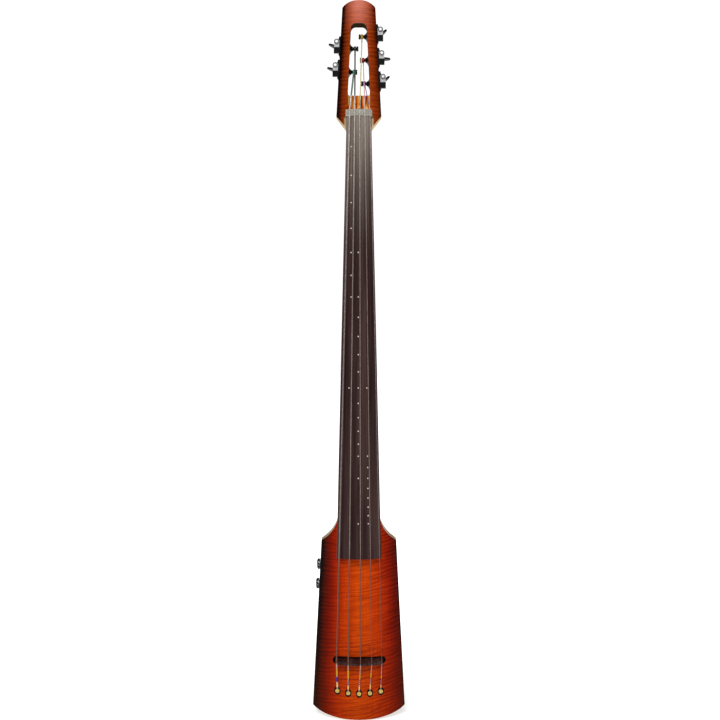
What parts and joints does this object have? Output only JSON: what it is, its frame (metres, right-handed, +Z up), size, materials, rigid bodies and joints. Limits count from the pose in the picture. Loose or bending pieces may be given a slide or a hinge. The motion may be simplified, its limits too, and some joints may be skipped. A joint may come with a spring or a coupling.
{
  "type": "electric upright bass",
  "caption": "Slim solid-body electric upright bass: crowned flamed body, long fretless ebony fingerboard, slotted head with worm-geared tuning machines, and a rear socket for its stand.",
  "frame": {"origin": "centre of the mouth of the stand socket on the back of the body", "axes": "+Z up along the neck towards the head, -Y towards the player's audience (the front, with the strings), +X towards the thinnest string"},
  "size_m": [0.1828, 0.1194, 1.4101],
  "materials": {
    "maple": "satin oiled, straight grain",
    "flame_top": "gloss amber burst over flamed grain",
    "flame_head": "gloss amber-brown burst over flamed grain",
    "ebony": "satin, fine straight pores",
    "pearl_dot": "polished",
    "nut_black": "satin",
    "carbon": "woven",
    "steel": "turned",
    "copper_foil": "foil",
    "string_metal": "fine flat-wound",
    "brass": "polished",
    "black_metal": "satin black",
    "black_plastic": "fine texture",
    "pot_metal": "pressed",
    "circuit_green": "solder mask",
    "battery_case": "printed sleeve, plain",
    "aluminium": "black anodised",
    "knob_metal": "satin with black grip",
    "machine_metal": "nickel, black base plate",
    "key_black": "polished black",
    "silk_black": "wound silk",
    "silk_green": "wound silk",
    "silk_yellow": "wound silk",
    "silk_red": "wound silk",
    "silk_purple": "wound silk"
  },
  "bodies": {
    "instrument": {"body_core": "maple", "body_top": "flame_top", "neck": "maple", "neck_rods": "carbon", "head_core": "maple", "head_cap": "flame_head", "fingerboard": "ebony", "position_dots": "pearl_dot", "nut": "nut_black", "bridge": "ebony", "bridge_adjusters": "steel", "bridge_pickup": "copper_foil", "string_1": "string_metal", "string_2": "string_metal", "string_3": "string_metal", "string_4": "string_metal", "string_5": "string_metal", "ball_ends": "brass", "anchor_cups": "black_metal", "bushings": "black_metal", "wood_screws": "black_metal", "potentiometers": "pot_metal", "circuit_board": "circuit_green", "battery": "battery_case", "control_cover": "black_plastic", "output_jack": "black_metal", "stand_block": "aluminium", "tuner_frame_left_1": "machine_metal", "tuner_frame_left_2": "machine_metal", "tuner_frame_right_1": "machine_metal", "tuner_frame_right_2": "machine_metal", "tuner_frame_right_3": "machine_metal"},
    "volume_control": {"volume_knob": "knob_metal"},
    "tone_control": {"tone_knob": "knob_metal"},
    "clamp_screw": {"stand_clamp": "black_metal"},
    "key_left_1": {"tuner_key_left_1": "key_black", "worm_left_1": "steel"},
    "post_left_1": {"tuner_gear_left_1": "black_metal", "tuner_post_left_1": "black_metal", "silk_winding_left_1": "silk_black"},
    "key_left_2": {"tuner_key_left_2": "key_black", "worm_left_2": "steel"},
    "post_left_2": {"tuner_gear_left_2": "black_metal", "tuner_post_left_2": "black_metal", "silk_winding_left_2": "silk_green"},
    "key_right_1": {"tuner_key_right_1": "key_black", "worm_right_1": "steel"},
    "post_right_1": {"tuner_gear_right_1": "black_metal", "tuner_post_right_1": "black_metal", "silk_winding_right_1": "silk_yellow"},
    "key_right_2": {"tuner_key_right_2": "key_black", "worm_right_2": "steel"},
    "post_right_2": {"tuner_gear_right_2": "black_metal", "tuner_post_right_2": "black_metal", "silk_winding_right_2": "silk_red"},
    "key_right_3": {"tuner_key_right_3": "key_black", "worm_right_3": "steel"},
    "post_right_3": {"tuner_gear_right_3": "black_metal", "tuner_post_right_3": "black_metal", "silk_winding_right_3": "silk_purple"}
  },
  "joints": [
    {"name": "key_turn_left_1", "type": "hinge", "parent": "instrument", "child": "key_left_1", "pos_m": [-0.04338, -0.078, 0.9864], "axis": [0, 1, 0], "continuous": true},
    {"name": "post_turn_left_1", "type": "hinge", "parent": "instrument", "child": "post_left_1", "pos_m": [-0.04338, -0.078, 0.9764], "axis": [1, 0, 0], "continuous": true},
    {"name": "key_turn_left_2", "type": "hinge", "parent": "instrument", "child": "key_left_2", "pos_m": [-0.04595, -0.078, 0.9406], "axis": [0, 1, 0], "continuous": true},
    {"name": "post_turn_left_2", "type": "hinge", "parent": "instrument", "child": "post_left_2", "pos_m": [-0.04595, -0.078, 0.9306], "axis": [1, 0, 0], "continuous": true},
    {"name": "key_turn_right_1", "type": "hinge", "parent": "instrument", "child": "key_right_1", "pos_m": [0.04205, -0.078, 1.0101], "axis": [0, 1, 0], "continuous": true},
    {"name": "post_turn_right_1", "type": "hinge", "parent": "instrument", "child": "post_right_1", "pos_m": [0.04205, -0.078, 1.0001], "axis": [1, 0, 0], "continuous": true},
    {"name": "key_turn_right_2", "type": "hinge", "parent": "instrument", "child": "key_right_2", "pos_m": [0.04464, -0.078, 0.964], "axis": [0, 1, 0], "continuous": true},
    {"name": "post_turn_right_2", "type": "hinge", "parent": "instrument", "child": "post_right_2", "pos_m": [0.04464, -0.078, 0.954], "axis": [1, 0, 0], "continuous": true},
    {"name": "key_turn_right_3", "type": "hinge", "parent": "instrument", "child": "key_right_3", "pos_m": [0.04723, -0.078, 0.9178], "axis": [0, 1, 0], "continuous": true},
    {"name": "post_turn_right_3", "type": "hinge", "parent": "instrument", "child": "post_right_3", "pos_m": [0.04723, -0.078, 0.9078], "axis": [1, 0, 0], "continuous": true},
    {"name": "volume_turn", "type": "hinge", "parent": "instrument", "child": "volume_control", "pos_m": [-0.08, -0.035, -0.0451], "axis": [-1, 0, 0], "range_deg": [-140, 140]},
    {"name": "tone_turn", "type": "hinge", "parent": "instrument", "child": "tone_control", "pos_m": [-0.08, -0.035, -0.0843], "axis": [-1, 0, 0], "range_deg": [-140, 140]},
    {"name": "clamp_turn", "type": "hinge", "parent": "instrument", "child": "clamp_screw", "pos_m": [0.02, 0, 0.02], "axis": [1, 0, 0], "range_deg": [-180, 720]}
  ],
  "couplings": [
    {"joint": "post_turn_left_1", "follows": "key_turn_left_1", "ratio": 0.055556},
    {"joint": "post_turn_left_2", "follows": "key_turn_left_2", "ratio": 0.055556},
    {"joint": "post_turn_right_1", "follows": "key_turn_right_1", "ratio": 0.055556},
    {"joint": "post_turn_right_2", "follows": "key_turn_right_2", "ratio": 0.055556},
    {"joint": "post_turn_right_3", "follows": "key_turn_right_3", "ratio": 0.055556}
  ]
}
